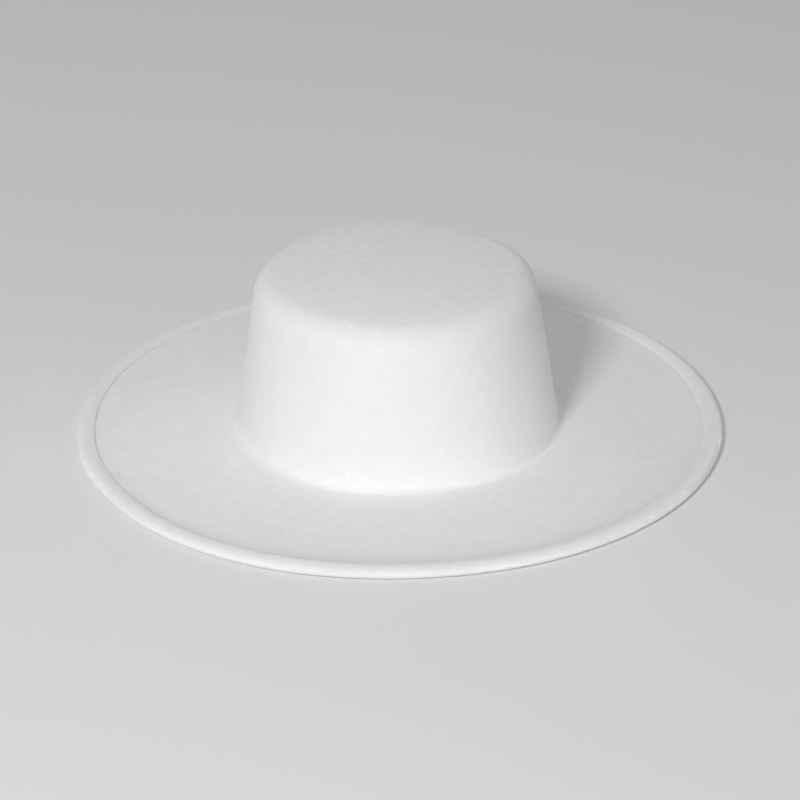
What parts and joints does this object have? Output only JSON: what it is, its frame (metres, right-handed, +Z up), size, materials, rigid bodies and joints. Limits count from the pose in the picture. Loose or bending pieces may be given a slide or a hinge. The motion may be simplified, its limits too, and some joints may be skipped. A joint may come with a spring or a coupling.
{
  "type": "flat-crowned wide-brim felt hat",
  "caption": "White felt hat with a tapered oval crown, flat top with a round shoulder, hollow inside, and a wide flat brim whose edge is bound with a rolled strip.",
  "frame": {"origin": "on the surface that the hat rests on, under the middle of the crown", "axes": "+Z up out of the top of the crown, -Y towards the front of the hat, X from side to side"},
  "size_m": [0.3526, 0.3736, 0.0912],
  "materials": {
    "body_felt": "matte brushed felt",
    "binding_felt": "matte brushed felt"
  },
  "bodies": {
    "root": {"felt_body": "body_felt", "edge_binding": "binding_felt"}
  },
  "joints": []
}
